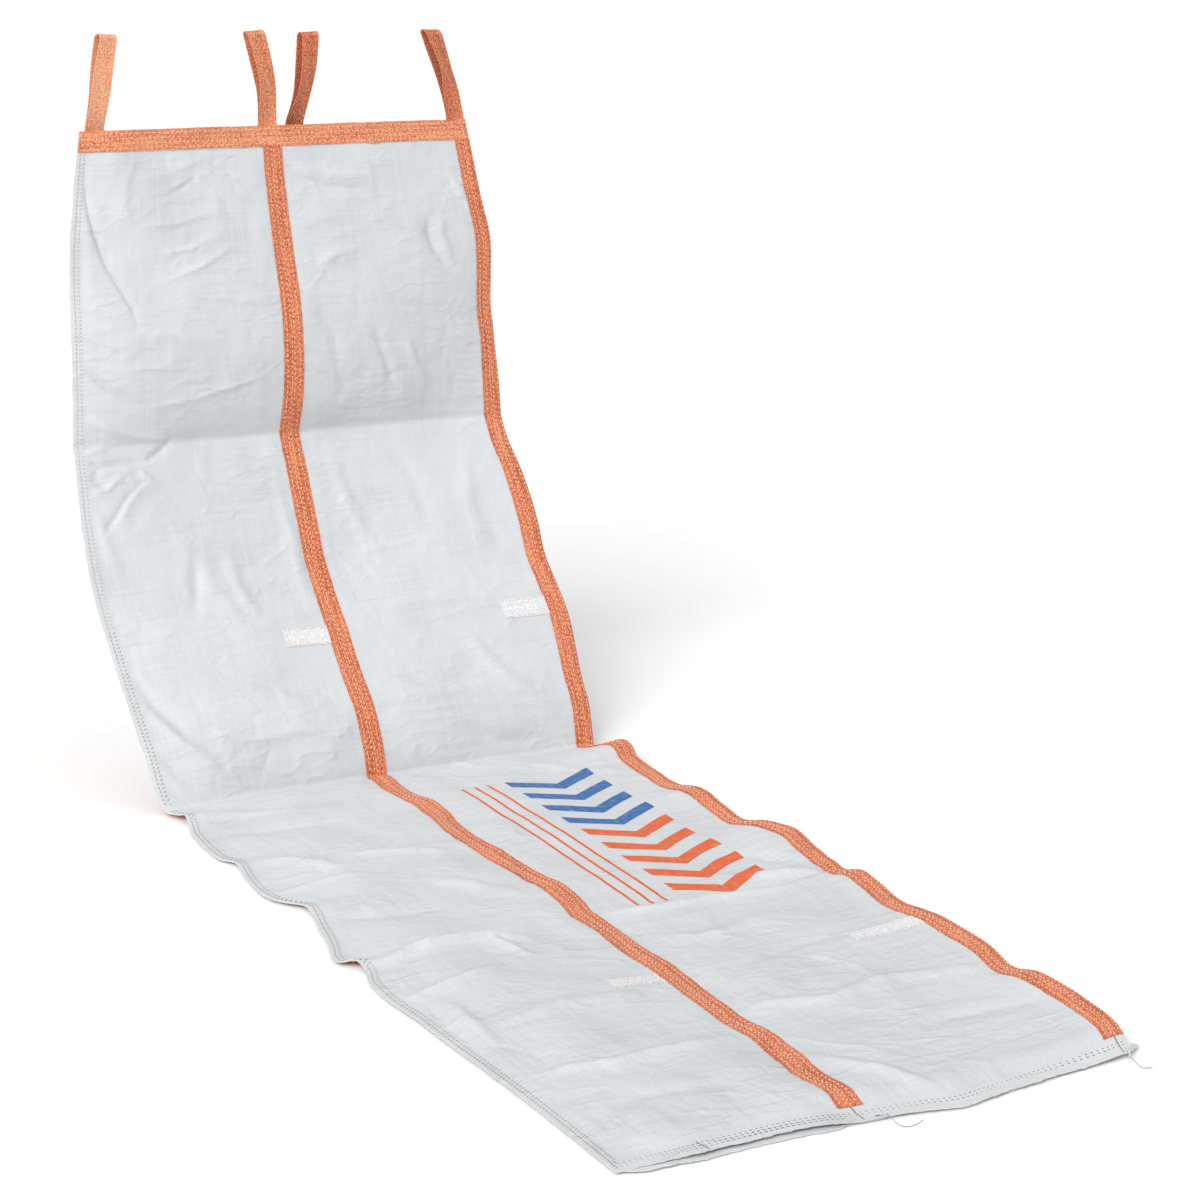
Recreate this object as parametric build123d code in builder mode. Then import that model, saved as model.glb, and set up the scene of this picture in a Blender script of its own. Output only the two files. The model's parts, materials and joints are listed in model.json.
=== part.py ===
"""Fabric chute: a flat-folded tube of woven panels, sewn with webbing straps.

It hangs from four loops. From the mouth down it is a top section, a middle section that leans
forward, and two sections lying on the floor, divided by three creases that work as hinges.
Millimetres, +Z up. The origin is the hanging point, midway between the crowns of the loops.
+X is across the chute, and the outlet points along -Y.
"""

from build123d import *
import os
from math import atan, cos, degrees, pi, radians, sin, tan

os.makedirs("parts", exist_ok=True)

# Cloth, across the chute
flat_width = 940
seam_fin = 12
wall = 3
fabric = 3
webbing_width = 40
webbing = 2
front_seam_x = -20
back_seam_x = 30
mouth_inset = 42

# Layers behind the front reference face, which the creases turn about
skin = 0.5
tube_gap = 10
mouth_spread = 18

# Sections: length along the chute, and slope above the horizontal
top_length, top_slope = 616, 81.5
middle_length, middle_slope = 743, 55
rear_length = 860
outlet_length = 865
crease_clearance = 8

# Loops, tabs, hem and loose thread
loop_height = 181.5
loop_half_width = 11
loop_neck = 2.2
loop_stand = 9
loop_knee = 0.78  # share of a leg below the straight part of the crown
front_loop_lean = -10  # degrees from upright, positive towards +X
right_loop_lean = -18
back_loop_lean = 13
left_loop_lean = 8
left_loop_inset = 36  # beyond half a strap from the left edge
right_loop_inset = 22
back_loop_shift = 14  # from the back seam, clear of the front loop
tab_length = 95
tab_thickness = 1.5
middle_tab_at = 0.4
outlet_tab_at = 0.68
hem_width = 28
hem_extra = 1  # the doubled hem is this much thicker than the cloth
strap_end = 42
thread_diameter = 1
thread_clearance = 0.1
bend_share = 0.45  # of the shorter run, where a thread turns

# Depths of the layers below the reference face
strap_face = skin
panel_face = strap_face + webbing
panel_back = panel_face + fabric
back_panel_face = panel_back + tube_gap
back_strap_face = back_panel_face + fabric
full_depth = back_strap_face + webbing

# Across the chute
half_width = flat_width / 2
left_panel_x = -half_width + seam_fin + wall
right_panel_x = half_width - wall
half_strap = webbing_width / 2

# The creases, from the mouth down. mouth_y puts the origin midway between the two bands.
mouth_y = -(full_depth + mouth_spread) / 2
mouth_z = -(loop_height + loop_stand)
first_crease = (
    mouth_y - top_length * cos(radians(top_slope)),
    mouth_z - top_length * sin(radians(top_slope)),
)
floor_crease = (
    first_crease[0] - middle_length * cos(radians(middle_slope)),
    first_crease[1] - middle_length * sin(radians(middle_slope)),
)
outlet_crease = (floor_crease[0] - rear_length, floor_crease[1])
hem_line = (outlet_crease[0] - outlet_length, floor_crease[1])
floor_z = floor_crease[1] - full_depth


def section_plane(lower_end, slope):
    """The front reference face: local Y runs up the chute, local Z out of the front."""
    y, z = lower_end
    normal = (0, -sin(radians(slope)), cos(radians(slope)))
    return Plane(origin=(0, y, z), x_dir=(1, 0, 0), z_dir=normal)


# The back of the top section leans away from the front, so that the mouth gapes a little.
spread_slope = top_slope - degrees(atan(mouth_spread / top_length))
top_front = section_plane(first_crease, top_slope)
top_back = section_plane(first_crease, spread_slope)
middle = section_plane(floor_crease, middle_slope)
rear = section_plane(outlet_crease, 0)
outlet = section_plane(hem_line, 0)


def save(piece, label):
    piece.part.label = label
    export_step(piece.part, f"parts/{label}.step")


def side_x(x, along):
    """Where a lengthwise line of the top section stands: drawn in towards the mouth."""
    return x - x / half_width * mouth_inset * (along / top_length) ** 2


def straight_piece(label, plane, face, thickness, x_low, x_high, y_low, y_high):
    """A flat rectangle of cloth whose front face is this deep below the reference face."""
    with BuildPart() as piece:
        with BuildSketch(plane.offset(-face - thickness)):
            with Locations(((x_low + x_high) / 2, (y_low + y_high) / 2)):
                Rectangle(x_high - x_low, y_high - y_low)
        extrude(amount=thickness)
    save(piece, label)


def drawn_in_outline(left, right, y_low, y_high):
    """Closed outline of a piece of the top section. left and right give X at a height."""
    y_mid = (y_low + y_high) / 2
    Line((left(y_low), y_low), (right(y_low), y_low))
    ThreePointArc((right(y_low), y_low), (right(y_mid), y_mid), (right(y_high), y_high))
    Line((right(y_high), y_high), (left(y_high), y_high))
    ThreePointArc((left(y_high), y_high), (left(y_mid), y_mid), (left(y_low), y_low))


def top_piece(label, plane, face, thickness, left, right, y_low, y_high):
    """A piece of the top section, whose sides follow the drawn-in edges."""
    with BuildPart() as piece:
        with BuildSketch(plane.offset(-face - thickness)):
            with BuildLine():
                drawn_in_outline(left, right, y_low, y_high)
            make_face()
        extrude(amount=thickness)
    save(piece, label)


def line_at(x, shift=0):
    """A lengthwise line of the top section, moved sideways by shift."""
    return lambda along: side_x(x, along) + shift


# Straight sections: the middle one and the two on the floor
def straight_section(name, plane, y_low, y_high, strap_low):
    """Panels, straps and side seams of a section with parallel sides."""
    panels = {
        "front_left_panel": (panel_face, left_panel_x, front_seam_x),
        "front_right_panel": (panel_face, front_seam_x, right_panel_x),
        "back_left_panel": (back_panel_face, left_panel_x, back_seam_x),
        "back_right_panel": (back_panel_face, back_seam_x, right_panel_x),
    }
    for label, (face, x_low, x_high) in panels.items():
        straight_piece(f"{name}_{label}", plane, face, fabric, x_low, x_high, y_low, y_high)

    left_strap_x = left_panel_x - wall - seam_fin / 2
    straps = {
        "front_strap": (strap_face, front_seam_x - half_strap),
        "right_strap": (strap_face, half_width - webbing_width),
        "back_strap": (back_strap_face, back_seam_x - half_strap),
        "left_strap": (back_strap_face, left_strap_x),
    }
    for label, (face, x) in straps.items():
        straight_piece(
            f"{name}_{label}", plane, face, webbing, x, x + webbing_width, strap_low, y_high
        )

    tube_depth = back_strap_face - panel_face
    middle_of_tube = panel_face + tube_depth / 2
    y_centre = (y_low + y_high) / 2
    with BuildPart() as left_seam:
        with BuildSketch(plane.offset(-back_strap_face)):
            with Locations((left_panel_x - wall / 2, y_centre)):
                Rectangle(wall, y_high - y_low)
        extrude(amount=tube_depth)
        with BuildSketch(plane.offset(-middle_of_tube - fabric / 2)):
            with Locations((left_panel_x - wall - seam_fin / 2, y_centre)):
                Rectangle(seam_fin, y_high - y_low)
        extrude(amount=fabric)
    save(left_seam, f"{name}_left_seam")

    with BuildPart() as right_seam:
        with BuildSketch(plane.offset(-back_strap_face)):
            with Locations((right_panel_x + wall / 2, y_centre)):
                Rectangle(wall, y_high - y_low)
        extrude(amount=tube_depth)
    save(right_seam, f"{name}_right_seam")


# Top section
def top_section():
    """Panels, straps, side seams and the two halves of the band round the mouth."""
    y_low = crease_clearance
    y_high = top_length
    band_low = top_length - webbing_width
    left = line_at(left_panel_x)
    right = line_at(right_panel_x)
    front_seam = line_at(front_seam_x)
    back_seam = line_at(back_seam_x)

    panels = {
        "front_left_panel": (top_front, panel_face, left, front_seam),
        "front_right_panel": (top_front, panel_face, front_seam, right),
        "back_left_panel": (top_back, back_panel_face, left, back_seam),
        "back_right_panel": (top_back, back_panel_face, back_seam, right),
    }
    for label, (plane, face, near, far) in panels.items():
        top_piece(f"top_{label}", plane, face, fabric, near, far, y_low, y_high)

    right_edge_x = right_panel_x + wall
    left_strap_x = left_panel_x - wall - seam_fin / 2
    straps = {
        "front_strap": (top_front, strap_face, front_seam_x, -half_strap),
        "right_strap": (top_front, strap_face, right_edge_x, -webbing_width),
        "back_strap": (top_back, back_strap_face, back_seam_x, -half_strap),
        "left_strap": (top_back, back_strap_face, left_strap_x, 0),
    }
    for label, (plane, face, x, shift) in straps.items():
        near = line_at(x, shift)
        far = line_at(x, shift + webbing_width)
        top_piece(f"top_{label}", plane, face, webbing, near, far, y_low, band_low)

    outer_left = line_at(left_panel_x, -wall)
    outer_right = line_at(right_panel_x, wall)
    bands = {"front_band": (top_front, strap_face), "back_band": (top_back, back_strap_face)}
    for label, (plane, face) in bands.items():
        top_piece(label, plane, face, webbing, outer_left, outer_right, band_low, y_high)

    # The side walls follow the spread of the mouth, so their backs are cut on the back plane.
    deep = back_strap_face + mouth_spread - panel_face
    back_cut = top_back.offset(-back_strap_face)
    with BuildPart() as left_seam:
        with BuildSketch(top_front.offset(-panel_face)):
            with BuildLine():
                drawn_in_outline(outer_left, left, y_low, y_high)
            make_face()
        extrude(amount=-deep)
        with BuildSketch(top_front.offset(-(panel_face + back_strap_face + fabric) / 2)):
            with BuildLine():
                fin_edge = line_at(left_panel_x, -wall - seam_fin)
                drawn_in_outline(fin_edge, outer_left, y_low, y_high)
            make_face()
        extrude(amount=fabric)
        split(bisect_by=back_cut, keep=Keep.TOP)
    save(left_seam, "top_left_seam")

    with BuildPart() as right_seam:
        with BuildSketch(top_front.offset(-panel_face)):
            with BuildLine():
                drawn_in_outline(right, outer_right, y_low, y_high)
            make_face()
        extrude(amount=-deep)
        split(bisect_by=back_cut, keep=Keep.TOP)
    save(right_seam, "top_right_seam")


# Hanging loops
def hanging_loop(label, plane, face, x, lean):
    """A strap folded over at its crown. Its two legs meet at a neck just above the band."""
    foot = plane.from_local_coords((side_x(x, top_length), top_length, -face))
    pivot = Vector(foot.X, foot.Y, foot.Z + loop_stand)
    across = Vector(cos(radians(lean)), 0, -sin(radians(lean)))
    side_view = Plane(origin=pivot, x_dir=(0, 1, 0), z_dir=across)
    outer = loop_half_width
    inner = outer - webbing
    leg = loop_height - outer
    knee = loop_knee * leg
    with BuildPart() as loop:
        with BuildSketch(side_view.offset(-half_strap)):
            with BuildLine():
                Line((-loop_neck, 0), (-outer, knee))
                Line((-outer, knee), (-outer, leg))
                ThreePointArc((-outer, leg), (0, loop_height), (outer, leg))
                Line((outer, leg), (outer, knee))
                Line((outer, knee), (loop_neck, 0))
                ThreePointArc((loop_neck, 0), (0, -loop_neck), (-loop_neck, 0))
            make_face()
            with BuildLine():
                Line((0, loop_neck), (-inner, knee))
                Line((-inner, knee), (-inner, leg))
                ThreePointArc((-inner, leg), (0, loop_height - webbing), (inner, leg))
                Line((inner, leg), (inner, knee))
                Line((inner, knee), (0, loop_neck))
            make_face(mode=Mode.SUBTRACT)
        extrude(amount=webbing_width)
    save(loop, label)
    print(label, "pivot", tuple(round(v, 2) for v in pivot))


# Webbing tabs, hem and loose thread
def tab(label, plane, face, x_low, y_centre):
    """A short flat tab, one of whose ends is sewn in at a strap's edge."""
    y_low, y_high = y_centre - half_strap, y_centre + half_strap
    straight_piece(label, plane, face, tab_thickness, x_low, x_low + tab_length, y_low, y_high)


def thread_tail(label, route):
    """A cut end of sewing thread: straight runs joined by arcs as large as the runs allow."""
    points = [Vector(*point) for point in route]
    radii = []
    for before, here, after in zip(points, points[1:], points[2:]):
        into, out = here - before, after - here
        turn = radians(into.get_angle(out))
        radii.append(bend_share * min(into.length, out.length) / tan(turn / 2))
    with BuildPart() as tail:
        with BuildLine() as path:
            FilletPolyline(*points, radius=radii)
        with BuildSketch(Plane(origin=points[0], z_dir=points[1] - points[0])):
            Circle(thread_diameter / 2)
        sweep()
    save(tail, label)
    length = sum(edge.length for edge in path.edges())
    fullness = tail.part.volume / (length * pi * thread_diameter**2 / 4)
    print(label, "length", round(length, 1), "volume ratio", round(fullness, 3))
    print(label, "radii", [round(radius, 1) for radius in radii])


top_section()
low = crease_clearance
straight_section("middle", middle, low, middle_length - crease_clearance, low)
straight_section("rear", rear, low, rear_length - crease_clearance, low)
straight_section("outlet", outlet, hem_width, outlet_length - crease_clearance, strap_end)

hem_left_x = left_panel_x - wall
hem_right_x = right_panel_x + wall
hems = {"front_hem": panel_face, "back_hem": back_panel_face - hem_extra}
for label, face in hems.items():
    straight_piece(label, outlet, face, fabric + hem_extra, hem_left_x, hem_right_x, 0, hem_width)

loops = {
    "loop_front": (top_front, panel_face, front_seam_x, front_loop_lean),
    "loop_right": (top_front, panel_face, half_width - right_loop_inset - half_strap, right_loop_lean),
    "loop_back": (top_back, back_strap_face, back_seam_x + back_loop_shift, back_loop_lean),
    "loop_left": (top_back, back_strap_face, -half_width + left_loop_inset + half_strap, left_loop_lean),
}
for label, (plane, face, x, lean) in loops.items():
    hanging_loop(label, plane, face, x, lean)

front_face = panel_face - tab_thickness
tabs = {
    "front_tab": (front_face, front_seam_x - half_strap - tab_length),
    "right_tab": (front_face, half_width - webbing_width - tab_length),
    "back_tab": (back_strap_face, back_seam_x + half_strap),
    "left_tab": (back_strap_face, left_panel_x - wall - seam_fin / 2 + webbing_width),
}
for label, (face, x_low) in tabs.items():
    tab(f"middle_{label}", middle, face, x_low, middle_tab_at * middle_length)
    tab(f"outlet_{label}", outlet, face, x_low, outlet_tab_at * outlet_length)

hem_y, hem_z = hem_line
tail_z = floor_z + thread_diameter / 2 + thread_clearance
tail_exit_z = hem_z - panel_face - fabric / 2
thread_tail(
    "centre_thread_tail",
    (
        (front_seam_x + 22, hem_y, tail_exit_z),
        (front_seam_x + 22, hem_y - 9, tail_exit_z),
        (front_seam_x + 28, hem_y - 18, tail_z + 6),
        (front_seam_x + 41, hem_y - 24, tail_z),
        (front_seam_x + 62, hem_y - 24, tail_z),
        (front_seam_x + 80, hem_y - 14, tail_z),
    ),
)
thread_tail(
    "corner_thread_tail",
    (
        (half_width - 6, hem_y, tail_exit_z),
        (half_width - 6, hem_y - 9, tail_exit_z),
        (half_width - 1, hem_y - 17, tail_z + 6),
        (half_width + 12, hem_y - 19, tail_z),
        (half_width + 26, hem_y - 17, tail_z),
    ),
)
print("first crease", first_crease)
print("floor crease", floor_crease)
print("outlet crease", outlet_crease)
print("hem", hem_line, "floor", floor_z)
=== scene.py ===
"""The looks of the fabric chute: woven cloth, webbing, stitches and print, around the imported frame.

Every soft piece is cut from one surface, cloth_surface(side, x, s): x is the place across the chute
and s the distance down it from the mouth, both in metres. The front and the back of the flattened
tube are its two sides, and straps, tabs, hems, stitches and print lie on the same surface.
"""

import json
import math

import bpy
import numpy as np
from mathutils import Matrix, Vector


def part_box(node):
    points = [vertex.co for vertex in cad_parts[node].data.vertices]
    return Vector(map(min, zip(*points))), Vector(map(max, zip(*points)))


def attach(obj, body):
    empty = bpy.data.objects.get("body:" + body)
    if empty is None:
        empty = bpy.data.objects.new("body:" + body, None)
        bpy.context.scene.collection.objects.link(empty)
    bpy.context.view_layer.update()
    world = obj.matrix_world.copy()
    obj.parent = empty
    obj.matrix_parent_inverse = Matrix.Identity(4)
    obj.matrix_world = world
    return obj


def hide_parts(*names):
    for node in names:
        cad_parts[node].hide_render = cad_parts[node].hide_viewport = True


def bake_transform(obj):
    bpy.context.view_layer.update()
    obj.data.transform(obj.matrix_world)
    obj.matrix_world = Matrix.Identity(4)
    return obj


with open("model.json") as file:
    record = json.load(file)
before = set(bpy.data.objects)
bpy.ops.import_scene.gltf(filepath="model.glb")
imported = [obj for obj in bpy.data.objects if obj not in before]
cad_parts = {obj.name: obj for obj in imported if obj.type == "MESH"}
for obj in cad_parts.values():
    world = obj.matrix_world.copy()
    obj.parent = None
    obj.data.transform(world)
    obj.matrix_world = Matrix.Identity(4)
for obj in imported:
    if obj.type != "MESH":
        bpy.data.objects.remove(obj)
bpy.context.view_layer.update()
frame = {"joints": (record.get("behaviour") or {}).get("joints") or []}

MM = 0.001

# ---------------------------------------------------------------- places read from the frame
joints = {joint["name"]: joint for joint in frame["joints"]}


def crease_point(name):
    """Y and Z of a crease on the front reference face."""
    place = joints[name]["pos_m"]
    return np.array([place[1], place[2]])


WEBBING_BACK = 2.5 * MM  # depth of the webbing's back below the reference face
band_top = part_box("front_band")[1]
hem_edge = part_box("front_hem")[0]
mouth = np.array([band_top.y - WEBBING_BACK, band_top.z])
floor_crease = crease_point("floor_crease")
CORNERS = [
    mouth,
    crease_point("top_crease"),
    floor_crease,
    crease_point("outlet_crease"),
    np.array([hem_edge.y, floor_crease[1]]),
]
LENGTHS = [float(np.linalg.norm(b - a)) for a, b in zip(CORNERS, CORNERS[1:])]
TOP_CREASE, FLOOR_CREASE, OUTLET_CREASE, HEM = np.cumsum(LENGTHS)

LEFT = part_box("middle_left_seam")[0].x
FIN_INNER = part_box("middle_front_left_panel")[0].x
FRONT_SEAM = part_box("middle_front_left_panel")[1].x
BACK_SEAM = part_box("middle_back_left_panel")[1].x
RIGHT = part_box("middle_right_seam")[1].x
FRONT_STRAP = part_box("middle_front_strap")
STRAP_WIDTH = FRONT_STRAP[1].x - FRONT_STRAP[0].x
MOUTH_INSET = (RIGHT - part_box("front_band")[1].x) / RIGHT
STRAP_END = HEM - (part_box("outlet_front_strap")[0].y - hem_edge.y)
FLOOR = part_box("rear_back_strap")[0].z

# Depths below the reference face, and how far the mouth gapes
FRONT_DEPTH = 2.7 * MM
BACK_DEPTH = 18.2 * MM
MIDDLE_DEPTH = 10.4 * MM
MOUTH_SPREAD = 18 * MM
OUTLET_DEPTH = 15.2 * MM  # the front layer lies down on the back one at the hem
CLOTH = 0.6 * MM
WEBBING = 1.7 * MM
LIFT_OFF = 0.3 * MM  # webbing stands this far off the cloth under it
HEM_START = HEM - 28 * MM
CREASE_ROUND = 9 * MM  # the reference face turns over this much on each side of a crease
NORMAL_STEP = 2.5 * MM
FLOOR_GAP = 0.4 * MM  # the lowest cloth stays this far above the floor
FIN_HALF = 1.1 * MM  # half the thickness of the left fin at its edge
TAPE = 2.4 * MM  # the width of the cloth's woven tapes
RIB = 6.4 * MM  # the width of the webbing's ribs

# Stitches: length, width and height in millimetres. Thread is each piece's second material.
STRAP_STITCH = (6.2, 1.6, 0.75)
FIN_STITCH = (5, 1.8, 0.7)
ALLOWANCE_STITCH = (5, 1.9, 0.7)
BACK_STITCH = (4.8, 1.0, 0.6)
TAB_STITCH = (5.6, 1.4, 0.6)
HEM_STITCH = (6, 1.7, 0.6)
THREAD_SLOT = 1


# ---------------------------------------------------------------- curves and noise
def through(points, at):
    """A smooth curve through (place, value) points, read at each place in at."""
    place, value = np.array(points, float).T
    slope = np.gradient(value, place)
    i = np.clip(np.searchsorted(place, at) - 1, 0, len(place) - 2)
    step = place[i + 1] - place[i]
    t = np.clip((at - place[i]) / step, 0, 1)
    rise = (t * t * (3 - 2 * t)) * (value[i + 1] - value[i])
    bend = step * (t * (1 - t) ** 2 * slope[i] - t * t * (1 - t) * slope[i + 1])
    return value[i] + rise + bend


def ease(t):
    t = np.clip(t, 0, 1)
    return t * t * (3 - 2 * t)


def mottle(x, s, across, along, seed):
    """Smooth seeded noise from -1 to 1. Its bumps are across by along metres."""
    grid = np.random.default_rng(seed).uniform(-1, 1, (64, 64))
    u, v = x / across + 211.3, s / along + 64.7
    i, j = np.floor(u).astype(int), np.floor(v).astype(int)
    a, b = ease(u - i), ease(v - j)
    low = grid[i % 64, j % 64] * (1 - a) + grid[(i + 1) % 64, j % 64] * a
    high = grid[i % 64, (j + 1) % 64] * (1 - a) + grid[(i + 1) % 64, (j + 1) % 64] * a
    return low * (1 - b) + high * b


def waver(x, size, seed):
    """Smooth seeded noise along one line."""
    return mottle(x, x * 0, size, 1, seed)


def layered(x, s, layers):
    """Several sizes of noise together."""
    return sum(height * mottle(x, s, across, along, seed) for height, across, along, seed in layers)


def unit(vectors):
    return vectors / np.linalg.norm(vectors, axis=-1, keepdims=True)


def crumple(x, s, size, seed):
    """Thin ridges between calmer facets, in patches: 1 on a ridge's top, 0 away from one."""
    bent_x = x + 0.5 * size * mottle(x, s, 1.4 * size, 1.4 * size, seed + 1)
    bent_s = s + 0.5 * size * mottle(x, s, 1.6 * size, 1.3 * size, seed + 2)
    facet = mottle(bent_x, bent_s, size, 1.3 * size, seed)
    patch_of = ease(0.35 + 1.3 * mottle(x, s, 2.3 * size, 2.6 * size, seed + 3))
    return (1 - np.hypot(facet, 0.06)) ** 8 * patch_of


def ridge(x, s, points, height, width, sharp):
    """A wrinkle along a path of (x, s) points. It dies away at both ends. A sharp one is a fold."""
    runs = np.linalg.norm(np.diff(points, axis=0), axis=1)
    total = runs.sum()
    reach = 5 * width
    (x_low, s_low), (x_high, s_high) = points.min(axis=0) - reach, points.max(axis=0) + reach
    near = (x > x_low) & (x < x_high) & (s > s_low) & (s < s_high)
    px, ps = x[near], s[near]
    best = np.full(px.shape, 1e9)
    where = np.zeros(px.shape)
    done = 0
    for a, b, run in zip(points, points[1:], runs):
        t = np.clip(((px - a[0]) * (b[0] - a[0]) + (ps - a[1]) * (b[1] - a[1])) / run**2, 0, 1)
        gap = np.hypot(px - a[0] - t * (b[0] - a[0]), ps - a[1] - t * (b[1] - a[1]))
        closer = gap < best
        best = np.where(closer, gap, best)
        where = np.where(closer, (done + t * run) / total, where)
        done += run
    round_top = 0.45 * width
    fold = np.exp(-(np.hypot(best, round_top) - round_top) / (0.8 * width))
    shape = fold if sharp else np.exp(-((best / width) ** 2))
    out = np.zeros(x.shape)
    out[near] = height * np.sqrt(np.clip(np.sin(np.pi * np.clip(where, 0.02, 0.98)), 0, 1)) * shape
    return out


# ---------------------------------------------------------------- how the whole chute hangs and lies
# The curves are (place down the chute in metres, millimetres) pairs, traced from the photo.
# How far the chute stands forward of its straight sections
LEFT_LIFT = [
    (0, 0), (0.25, 4), (0.62, 0), (0.77, -14), (0.89, -26), (1.02, -18), (1.14, -6), (1.26, 6),
    (1.36, 0),
]
CENTRE_LIFT = [
    (0, 0), (0.06, 1), (0.14, 9), (0.23, 22), (0.35, 47), (0.44, 51), (0.56, 27), (0.62, 0),
    (0.69, -10), (0.76, -19), (0.89, -32), (0.95, -27), (1.02, -13), (1.15, 6), (1.21, 20), (1.3, 17),
    (1.36, 0),
]
RIGHT_LIFT = [
    (0, 0), (0.25, 12), (0.38, 2), (0.5, 0), (0.62, 0), (0.8, 7), (0.94, 6), (1.04, 14), (1.15, 12),
    (1.27, 11), (1.36, 0),
]
# How far the two edges stand sideways of their straight lines, positive towards +X
LEFT_SHIFT = [
    (0, 17), (0.12, 8), (0.25, 0), (0.4, 0), (0.62, -8), (0.77, -21), (0.89, -24), (1.02, -21),
    (1.14, -15), (1.26, -8), (1.35, 2), (1.41, 24), (1.487, 9), (1.582, 3), (1.62, 4), (1.635, 7),
    (1.66, 19), (1.675, 20), (1.744, 10), (1.838, 5), (1.86, 9), (1.88, 19), (1.915, 43), (1.93, 45),
    (2.017, 29), (2.105, 9), (2.165, -8), (2.175, -7), (2.2, 14), (2.28, 4), (2.346, 0), (2.442, 8),
    (2.564, 12), (2.66, 18), (2.81, 24), (2.95, 26), (3.084, 26),
]
RIGHT_SHIFT = [
    (0, -9), (0.06, -8), (0.16, -4), (0.25, 5), (0.32, 0), (0.38, -5), (0.47, -3), (0.6, 0), (0.67, -1),
    (0.74, 8), (0.8, 12), (0.87, 13), (0.94, 9), (1.01, 14), (1.08, 20), (1.14, 18), (1.21, 12),
    (1.28, 12), (1.34, 6), (1.39, 4), (1.42, 27), (1.515, 19), (1.61, 14), (1.7, 16), (1.745, 24),
    (1.85, 21), (1.93, 23), (1.965, 38), (2.03, 53), (2.13, 42), (2.2, 37), (2.24, 36), (2.265, 47),
    (2.31, 49), (2.41, 38), (2.5, 48), (2.585, 48), (2.66, 46), (2.745, 37), (2.78, 44), (2.825, 48),
    (2.93, 47), (2.99, 43), (3.05, 31), (3.084, 24),
]
# How far the sewn middle wanders sideways on the floor
CENTRE_SHIFT = [
    (1.36, 0), (1.41, -2), (1.473, -1), (1.558, 15), (1.631, 8), (1.7, -3), (1.773, -3), (1.846, 1),
    (1.917, 5), (1.986, 8), (2.06, 22), (2.122, 16), (2.181, 5), (2.243, 6), (2.305, 7), (2.363, 3),
    (2.424, 6), (2.48, 4), (2.536, 2), (2.588, -5), (2.644, -3), (2.696, -4), (2.753, 4), (2.803, 2),
    (2.851, -2), (2.897, -9), (2.947, -8), (2.996, -4), (3.042, -7), (3.084, -7),
]
# How high each edge stands off the floor
RIGHT_RISE = [
    (1.36, 0), (1.395, 8), (1.42, 23), (1.515, 15.8), (1.61, 14), (1.7, 14), (1.745, 23), (1.85, 17),
    (1.93, 14), (1.965, 21.8), (2.03, 28.4), (2.13, 23), (2.2, 18.8), (2.24, 17), (2.265, 25.4),
    (2.31, 21.8), (2.41, 15.8), (2.5, 21.8), (2.585, 24.2), (2.66, 19.4), (2.745, 14.6), (2.78, 23),
    (2.825, 24.2), (2.93, 19.4), (2.99, 16.4), (3.05, 12.2), (3.084, 5),
]
LEFT_RISE = [
    (1.36, 0), (1.38, 1), (1.395, 4), (1.412, 12), (1.428, 5), (1.445, 2), (1.5, 1.5), (1.65, 3),
    (1.67, 5), (1.7, 2), (1.85, 3), (1.905, 5), (1.93, 8), (1.96, 4), (2.05, 3), (2.15, 3), (2.18, 5),
    (2.2, 13), (2.218, 5), (2.24, 2.5), (2.3, 2), (2.4, 2), (3.084, 1),
]
# How far the panels stand up between their sewn lines
PILLOW_HEIGHT = [
    (0, 0), (0.1, 4), (0.35, 8), (0.6, 2), (0.75, 3), (1.0, 5), (1.3, 4), (1.37, 1), (1.6, 5), (2.0, 6),
    (2.2, 3), (2.4, 6), (2.8, 5), (3.05, 2), (3.084, 1),
]
# How far the hem stands out past its straight line: place across, millimetres
HEM_EDGE = [
    (-0.47, -30), (-0.3, -24), (-0.14, -27), (-0.01, -12), (0.08, -3), (0.14, 8), (0.2, 2), (0.28, -9),
    (0.42, -24), (0.48, -28),
]


def reference(s):
    """Y and Z on the reference face at s, and its forward direction, with rounded creases."""
    places = [0, TOP_CREASE, FLOOR_CREASE, OUTLET_CREASE]
    point = run = None
    for k, (start, end, length) in enumerate(zip(CORNERS, CORNERS[1:], LENGTHS)):
        way = (end - start) / length
        line = start + (s - places[k])[..., None] * way
        if k == 0:
            point, run = line, np.broadcast_to(way, line.shape)
            continue
        w = ease((s - places[k] + CREASE_ROUND) / (2 * CREASE_ROUND))[..., None]
        point, run = point * (1 - w) + line * w, run * (1 - w) + way * w
    run = unit(run)
    return point, np.stack([run[..., 1], -run[..., 0]], axis=-1)


def forward_at(s):
    """The forward direction at s as X, Y and Z."""
    forward = reference(s)[1]
    return np.concatenate([np.zeros((*forward.shape[:-1], 1)), forward], -1)


def lift(x, s):
    """How far the chute stands forward here, both layers together."""
    left, centre, right = (through(curve, s) for curve in (LEFT_LIFT, CENTRE_LIFT, RIGHT_LIFT))
    a = (x - FRONT_SEAM) * (x - RIGHT) / ((LEFT - FRONT_SEAM) * (LEFT - RIGHT))
    b = (x - LEFT) * (x - RIGHT) / ((FRONT_SEAM - LEFT) * (FRONT_SEAM - RIGHT))
    c = (x - LEFT) * (x - FRONT_SEAM) / ((RIGHT - LEFT) * (RIGHT - FRONT_SEAM))
    hanging = (a * left + b * centre + c * right) * (s < FLOOR_CREASE)
    return hanging * MM


def edge_rise(x, s):
    """How far the two edges curl up off the floor."""
    on_floor = s > FLOOR_CREASE
    right = through(RIGHT_RISE, s) * np.exp(-np.abs((RIGHT - x) / 0.085) ** 1.6)
    left = through(LEFT_RISE, s) * np.exp(-np.abs((x - LEFT) / 0.05) ** 1.6)
    return (right + left) * on_floor * MM


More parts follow.
